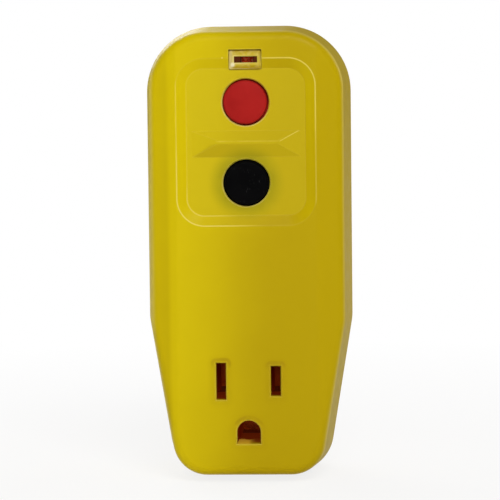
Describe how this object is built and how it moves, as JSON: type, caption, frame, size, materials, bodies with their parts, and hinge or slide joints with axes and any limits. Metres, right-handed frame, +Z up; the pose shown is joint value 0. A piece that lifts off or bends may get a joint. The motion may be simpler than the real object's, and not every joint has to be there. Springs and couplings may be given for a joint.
{
  "type": "plug-in ground fault circuit interrupter",
  "caption": "Yellow plug-in adapter with reset and test buttons, indicator window and a grounded outlet; blades at the back plug into a wall outlet.",
  "frame": {"origin": "on the back face that meets the wall, midway between the two flat blades", "axes": "+Y points into the wall along the blades, -Y out of the front, +Z up, +X to the right seen from the front"},
  "size_m": [0.0486, 0.0546, 0.1067],
  "materials": {
    "case_yellow": "moulded yellow plastic, satin gloss",
    "button_red": "moulded red plastic, semi-matt",
    "button_black": "moulded black plastic, semi-matt",
    "window_clear": "clear moulded plastic",
    "lamp_red": "red tinted epoxy",
    "blade_brass": "plain brass",
    "contact_brass": "stamped brass",
    "contact_silver": "silver alloy",
    "steel": "zinc-plated steel",
    "spring_steel": "spring steel wire",
    "nylon_white": "white nylon",
    "phenolic_black": "black thermoset",
    "copper_enamel": "enamelled copper wire",
    "ferrite": "dark ferrite",
    "board_green": "glass-epoxy board",
    "wire_white": "white insulation",
    "wire_black": "black insulation",
    "epoxy_black": "moulded epoxy",
    "varistor_blue": "dipped epoxy",
    "ceramic_tan": "dipped ceramic",
    "sleeve_dark": "plain sleeve",
    "resistor_beige": "lacquered film resistor"
  },
  "bodies": {
    "housing": {"front_cover": "case_yellow", "rear_cover": "case_yellow", "cover_screws": "steel", "indicator_window": "window_clear", "indicator_lamp": "lamp_red", "reset_spring": "spring_steel", "test_spring": "contact_brass", "test_contact": "contact_brass", "mechanism_frame": "nylon_white", "solenoid_yoke": "steel", "solenoid_bobbin": "nylon_white", "solenoid_coil": "copper_enamel", "plunger_spring": "spring_steel", "ground_socket_contact": "contact_brass", "socket_holder": "phenolic_black", "blade_holder": "phenolic_black", "ground_pin": "blade_brass", "transformer_cradle": "nylon_white", "circuit_board": "board_green", "varistor": "varistor_blue", "trigger_scr": "epoxy_black", "controller_chip": "epoxy_black", "filter_capacitor": "sleeve_dark", "ceramic_capacitors": "ceramic_tan", "rectifier_diodes": "epoxy_black", "signal_resistors": "resistor_beige", "test_resistor": "resistor_beige", "sense_core": "ferrite", "neutral_core": "ferrite", "sense_winding": "copper_enamel", "neutral_winding": "copper_enamel", "line_conductor": "wire_black", "neutral_conductor": "wire_white", "line_blade": "blade_brass", "line_fixed_contact": "contact_silver", "line_arm_post": "contact_brass", "line_socket_contact": "contact_brass", "neutral_blade": "blade_brass", "neutral_fixed_contact": "contact_silver", "neutral_arm_post": "contact_brass", "neutral_socket_contact": "contact_brass"},
    "reset_body": {"reset_button": "button_red", "reset_pin": "steel"},
    "test_body": {"test_button": "button_black"},
    "plunger_body": {"solenoid_plunger": "steel"},
    "carriage_body": {"contact_carriage": "nylon_white"},
    "latch_body": {"latch_plate": "steel"},
    "line_arm_body": {"line_contact_arm": "contact_brass", "line_moving_contact": "contact_silver"},
    "neutral_arm_body": {"neutral_contact_arm": "contact_brass", "neutral_moving_contact": "contact_silver"}
  },
  "joints": [
    {"name": "reset_press", "type": "slide", "parent": "housing", "child": "reset_body", "axis": [0, 1, 0], "range_m": [0, 0.0026], "stiffness_N_per_m": 400, "springref_m": -0.002, "deforming": ["reset_spring"]},
    {"name": "test_press", "type": "slide", "parent": "housing", "child": "test_body", "axis": [0, 1, 0], "range_m": [0, 0.0015], "stiffness_N_per_m": 300, "springref_m": -0.002, "deforming": ["test_spring"]},
    {"name": "trip_stroke", "type": "slide", "parent": "housing", "child": "plunger_body", "axis": [0, 0, -1], "range_m": [0, 0.0016], "stiffness_N_per_m": 300, "springref_m": -0.002, "deforming": ["plunger_spring"]},
    {"name": "carriage_drop", "type": "slide", "parent": "housing", "child": "carriage_body", "axis": [0, 1, 0], "range_m": [0, 0.0024]},
    {"name": "latch_shift", "type": "slide", "parent": "carriage_body", "child": "latch_body", "axis": [0, 0, -1], "range_m": [0, 0.0016]},
    {"name": "line_arm_swing", "type": "hinge", "parent": "housing", "child": "line_arm_body", "pos_m": [0.013, -0.01325, 0.0437], "axis": [-1, 0, 0], "range_deg": [0, 6.6]},
    {"name": "neutral_arm_swing", "type": "hinge", "parent": "housing", "child": "neutral_arm_body", "pos_m": [-0.013, -0.01325, 0.0437], "axis": [-1, 0, 0], "range_deg": [0, 6.6]}
  ],
  "couplings": [
    {"joint": "carriage_drop", "follows": "trip_stroke", "ratio": 1.5},
    {"joint": "latch_shift", "follows": "trip_stroke", "ratio": 1},
    {"joint": "line_arm_swing", "follows": "trip_stroke", "rad_per_m": 71.77},
    {"joint": "neutral_arm_swing", "follows": "trip_stroke", "rad_per_m": 71.77}
  ]
}
